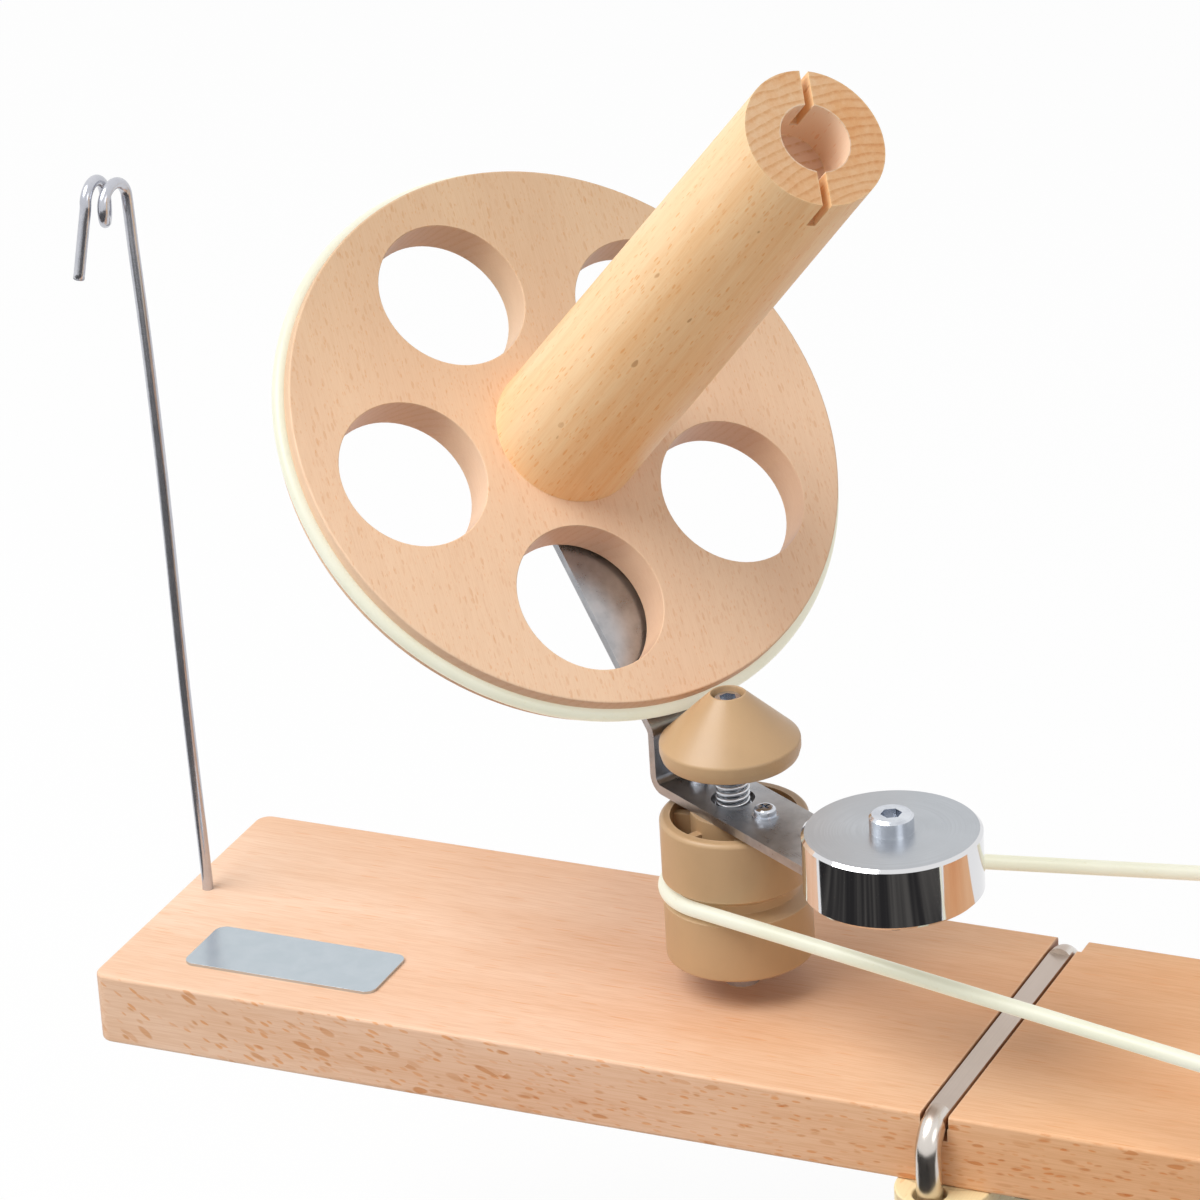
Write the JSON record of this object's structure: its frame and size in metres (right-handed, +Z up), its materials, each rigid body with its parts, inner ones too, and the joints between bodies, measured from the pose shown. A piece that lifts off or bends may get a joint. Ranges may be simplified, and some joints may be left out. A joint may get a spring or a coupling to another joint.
{
  "type": "yarn ball winder",
  "caption": "Hand-cranked yarn ball winder: a belt-driven rotor carries a tilted, slotted winding mandrel whose disc rolls on a friction cone, on a beech board with a table clamp.",
  "frame": {"origin": "middle of the rubber table pad's underside, on the plane of the table's top", "axes": "+X along the board towards the drive wheel and its handle, +Y away from the side that the picture shows, +Z up"},
  "size_m": [0.5403, 0.1979, 0.397],
  "materials": {
    "board_wood": "planed beech, clear satin lacquer",
    "disc_wood": "planed beech with short dark flecks, satin",
    "mandrel_wood": "turned beech, clear satin lacquer",
    "block_wood": "pale yellow softwood, planed",
    "tan_plastic": "turned nylon, satin",
    "cream_cord": "smooth elastic cord, satin",
    "black_rubber": "matt, lightly textured",
    "black_plastic": "moulded, matt",
    "bracket_steel": "galvanised strip, satin",
    "rod_steel": "bright drawn rod with a ground flat",
    "guide_wire": "bright plated wire",
    "weight_chrome": "mirror-bright turned side, turned face on top",
    "plate_steel": "mirror polished, bare",
    "zinc_steel": "bright zinc plated",
    "spring_steel": "bright spring wire",
    "bearing_steel": "ground, satin shields",
    "insert_brass": "turned brass"
  },
  "bodies": {
    "root": {"base_board": "board_wood", "table_pad": "black_rubber", "name_plate": "plate_steel", "clamp_rod": "rod_steel", "clamp_block": "block_wood", "block_screws": "zinc_steel", "clamp_beam": "block_wood", "clamp_nuts": "zinc_steel", "beam_insert": "insert_brass", "axle_bolt": "zinc_steel", "axle_nut": "zinc_steel", "pulley_foot": "zinc_steel", "friction_cone": "tan_plastic", "cone_spring": "spring_steel", "spring_seat": "zinc_steel", "wheel_axle": "zinc_steel", "wheel_foot": "zinc_steel", "wheel_cap_nut": "zinc_steel", "drive_belt": "cream_cord"},
    "rotor": {"rotor_pulley": "tan_plastic", "rotor_bearings": "bearing_steel", "swing_bracket": "bracket_steel", "bracket_screws": "zinc_steel", "counterweight": "weight_chrome", "weight_bolt": "zinc_steel", "weight_nut": "zinc_steel", "spindle_bolt": "zinc_steel", "spindle_washer": "zinc_steel", "spindle_nut": "zinc_steel"},
    "disc": {"winding_disc": "disc_wood", "disc_tyre": "cream_cord", "winding_mandrel": "mandrel_wood", "disc_bearings": "bearing_steel", "mandrel_screws": "zinc_steel"},
    "drive_wheel": {"drive_wheel": "disc_wood", "wheel_hub": "disc_wood", "wheel_bearings": "bearing_steel", "handle_insert": "insert_brass", "handle_bolt": "zinc_steel"},
    "handle": {"handle_grip": "mandrel_wood"},
    "guide": {"yarn_guide": "guide_wire"},
    "clamp_foot": {"clamp_foot": "black_plastic"},
    "clamp_screw": {"clamp_screw": "zinc_steel", "clamp_knob": "black_plastic"}
  },
  "joints": [
    {"name": "rotor_spin", "type": "hinge", "parent": "root", "child": "rotor", "pos_m": [-0.20525, 0.0019, 0.0225], "axis": [0, 0, 1], "continuous": true},
    {"name": "disc_spin", "type": "hinge", "parent": "rotor", "child": "disc", "pos_m": [-0.26182, 0.03549, 0.15626], "axis": [0.6154, -0.3654, 0.6984], "continuous": true},
    {"name": "drive_wheel_spin", "type": "hinge", "parent": "root", "child": "drive_wheel", "pos_m": [0.08075, -0.0046, 0.0225], "axis": [0, 0, 1], "continuous": true},
    {"name": "handle_spin", "type": "hinge", "parent": "drive_wheel", "child": "handle", "pos_m": [0.14075, -0.0046, 0.0588], "axis": [0, 0, 1], "continuous": true},
    {"name": "guide_swivel", "type": "hinge", "parent": "root", "child": "guide", "pos_m": [-0.36355, 0.0044, 0.0225], "axis": [0, 0, 1], "range_deg": [-90, 90]},
    {"name": "clamp_slide", "type": "slide", "parent": "root", "child": "clamp_foot", "axis": [0, 0, 1], "range_m": [0, 0.024]},
    {"name": "clamp_turn", "type": "hinge", "parent": "clamp_foot", "child": "clamp_screw", "pos_m": [-0.08275, 0, -0.05], "axis": [0, 0, 1], "range_deg": [0, 5765]}
  ],
  "couplings": [
    {"joint": "drive_wheel_spin", "follows": "rotor_spin", "ratio": 0.23125},
    {"joint": "disc_spin", "follows": "rotor_spin", "ratio": 0.1867},
    {"joint": "clamp_turn", "follows": "clamp_slide", "rad_per_m": 4188.8}
  ]
}
